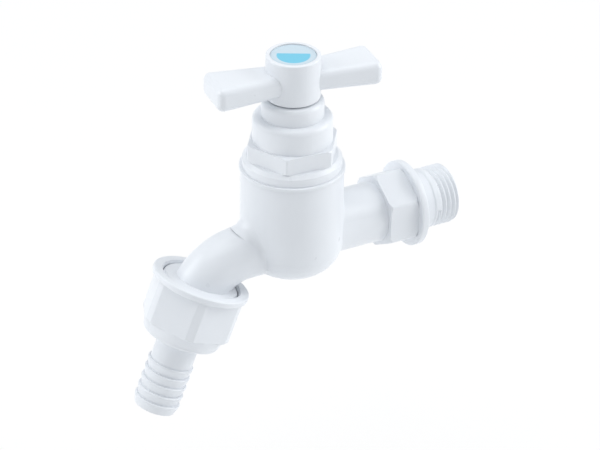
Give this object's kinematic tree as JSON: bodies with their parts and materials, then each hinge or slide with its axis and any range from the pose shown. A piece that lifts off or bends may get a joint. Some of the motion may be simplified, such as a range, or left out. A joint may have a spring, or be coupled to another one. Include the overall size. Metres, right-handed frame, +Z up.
{
  "type": "garden tap",
  "caption": "White plastic screw-down garden tap with a T-shaped handle, a threaded wall inlet and a bent spout that ends in a hose union.",
  "frame": {"origin": "on the axis of the inlet, at the wall face of the inlet's flange", "axes": "+Z up along the spindle, +Y along the inlet into the wall, +X to the right for someone who looks along +Y; the spout points to -Y"},
  "size_m": [0.036, 0.1205, 0.1259],
  "materials": {
    "white_plastic": "smooth moulded plastic, half gloss",
    "index_plastic": "smooth moulded plastic, pale blue grey",
    "seal_rubber": "matt black rubber",
    "valve_brass": "turned brass",
    "screw_steel": "plated steel"
  },
  "bodies": {
    "tap": {"tap_body": "white_plastic", "bonnet": "white_plastic", "bonnet_ring": "seal_rubber"},
    "valve": {"jumper": "valve_brass", "valve_washer": "seal_rubber", "washer_nut": "valve_brass"},
    "spindle_and_handle": {"spindle": "valve_brass", "upper_spindle_ring": "seal_rubber", "lower_spindle_ring": "seal_rubber", "handle": "white_plastic", "handle_screw": "screw_steel", "index_disc": "index_plastic"},
    "tail": {"hose_tail": "white_plastic", "union_gasket": "seal_rubber"},
    "nut": {"union_nut": "white_plastic"}
  },
  "joints": [
    {"name": "valve_lift", "type": "slide", "parent": "tap", "child": "valve", "axis": [0, 0, 1], "range_m": [0, 0.006]},
    {"name": "handle_turn", "type": "hinge", "parent": "valve", "child": "spindle_and_handle", "pos_m": [0, -0.046, 0], "axis": [0, 0, 1], "range_deg": [0, 720]},
    {"name": "union_travel", "type": "slide", "parent": "tap", "child": "tail", "axis": [0, -0.3746, -0.9272], "range_m": [0, 0.0145]},
    {"name": "nut_turn", "type": "hinge", "parent": "tail", "child": "nut", "pos_m": [0, -0.08264, -0.01511], "axis": [0, -0.3746, -0.9272], "range_deg": [0, 2877]}
  ],
  "couplings": [
    {"joint": "valve_lift", "follows": "handle_turn", "m_per_rad": 0.00047746},
    {"joint": "union_travel", "follows": "nut_turn", "m_per_rad": 0.00028871}
  ]
}
